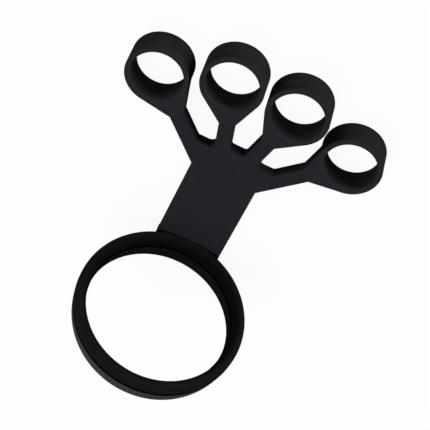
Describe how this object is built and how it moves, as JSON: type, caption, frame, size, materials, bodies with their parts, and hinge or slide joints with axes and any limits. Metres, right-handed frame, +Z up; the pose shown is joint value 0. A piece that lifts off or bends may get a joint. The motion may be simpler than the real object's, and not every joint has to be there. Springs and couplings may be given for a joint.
{
  "type": "finger exerciser",
  "caption": "Soft silicone hand exerciser: a wrist ring folded up from a palm plate, with stretching straps that end in finger loops.",
  "frame": {"origin": "middle of the part's outline, on the surface it lies on", "axes": "+Z up; +Y from the wrist ring to the finger loops; +X across the hand, to the little finger's loop"},
  "size_m": [0.1116, 0.1374, 0.0708],
  "materials": {
    "silicone": "matte",
    "silicone_back": "matte, slightly rougher"
  },
  "bodies": {
    "palm": {"palm_plate": "silicone"},
    "wrist": {"wrist_ring_front": "silicone", "wrist_ring_back": "silicone_back", "wrist_neck": "silicone"},
    "index_strap": {"index_strap": "silicone"},
    "index_neck": {"index_neck": "silicone"},
    "index_loop": {"index_yoke": "silicone", "index_loop": "silicone"},
    "middle_strap": {"middle_strap": "silicone"},
    "middle_neck": {"middle_neck": "silicone"},
    "middle_loop": {"middle_yoke": "silicone", "middle_loop": "silicone"},
    "ring_strap": {"ring_strap": "silicone"},
    "ring_neck": {"ring_neck": "silicone"},
    "ring_loop": {"ring_yoke": "silicone", "ring_loop": "silicone"},
    "little_strap": {"little_strap": "silicone"},
    "little_neck": {"little_neck": "silicone"},
    "little_loop": {"little_yoke": "silicone", "little_loop": "silicone"}
  },
  "joints": [
    {"name": "wrist_fold", "type": "hinge", "parent": "palm", "child": "wrist", "pos_m": [0, -0.02153, 0.00425], "axis": [-1, 0, 0], "range_deg": [-70, 35], "stiffness_Nm_per_rad": 0.08, "deforming": ["wrist_neck"]},
    {"name": "index_lift", "type": "hinge", "parent": "palm", "child": "index_strap", "pos_m": [-0.01994, 0.0221, 0.00909], "axis": [1, 0, 0], "range_deg": [-30, 60], "stiffness_Nm_per_rad": 0.03, "deforming": ["index_strap"]},
    {"name": "index_stretch", "type": "slide", "parent": "index_strap", "child": "index_neck", "axis": [-0.7039, 0.7059, 0.0783], "range_m": [0, 0.012], "stiffness_N_per_m": 1000, "deforming": ["index_strap"]},
    {"name": "index_tilt", "type": "hinge", "parent": "index_neck", "child": "index_loop", "pos_m": [-0.02765, 0.02983, 0.00995], "axis": [1, 0, 0], "range_deg": [-40, 50], "stiffness_Nm_per_rad": 0.03, "deforming": ["index_neck"]},
    {"name": "middle_lift", "type": "hinge", "parent": "palm", "child": "middle_strap", "pos_m": [-0.00693, 0.02789, 0.00973], "axis": [1, 0, 0], "range_deg": [-30, 60], "stiffness_Nm_per_rad": 0.03, "deforming": ["middle_strap"]},
    {"name": "middle_stretch", "type": "slide", "parent": "middle_strap", "child": "middle_neck", "axis": [-0.2365, 0.9657, 0.1071], "range_m": [0, 0.007], "stiffness_N_per_m": 1000, "deforming": ["middle_strap"]},
    {"name": "middle_tilt", "type": "hinge", "parent": "middle_neck", "child": "middle_loop", "pos_m": [-0.00883, 0.03566, 0.01059], "axis": [1, 0, 0], "range_deg": [-40, 50], "stiffness_Nm_per_rad": 0.03, "deforming": ["middle_neck"]},
    {"name": "ring_lift", "type": "hinge", "parent": "palm", "child": "ring_strap", "pos_m": [0.00693, 0.02789, 0.00973], "axis": [1, 0, 0], "range_deg": [-30, 60], "stiffness_Nm_per_rad": 0.03, "deforming": ["ring_strap"]},
    {"name": "ring_stretch", "type": "slide", "parent": "ring_strap", "child": "ring_neck", "axis": [0.2365, 0.9657, 0.1071], "range_m": [0, 0.007], "stiffness_N_per_m": 1000, "deforming": ["ring_strap"]},
    {"name": "ring_tilt", "type": "hinge", "parent": "ring_neck", "child": "ring_loop", "pos_m": [0.00883, 0.03566, 0.01059], "axis": [1, 0, 0], "range_deg": [-40, 50], "stiffness_Nm_per_rad": 0.03, "deforming": ["ring_neck"]},
    {"name": "little_lift", "type": "hinge", "parent": "palm", "child": "little_strap", "pos_m": [0.01994, 0.0221, 0.00909], "axis": [1, 0, 0], "range_deg": [-30, 60], "stiffness_Nm_per_rad": 0.03, "deforming": ["little_strap"]},
    {"name": "little_stretch", "type": "slide", "parent": "little_strap", "child": "little_neck", "axis": [0.7039, 0.7059, 0.0783], "range_m": [0, 0.012], "stiffness_N_per_m": 1000, "deforming": ["little_strap"]},
    {"name": "little_tilt", "type": "hinge", "parent": "little_neck", "child": "little_loop", "pos_m": [0.02765, 0.02983, 0.00995], "axis": [1, 0, 0], "range_deg": [-40, 50], "stiffness_Nm_per_rad": 0.03, "deforming": ["little_neck"]}
  ]
}
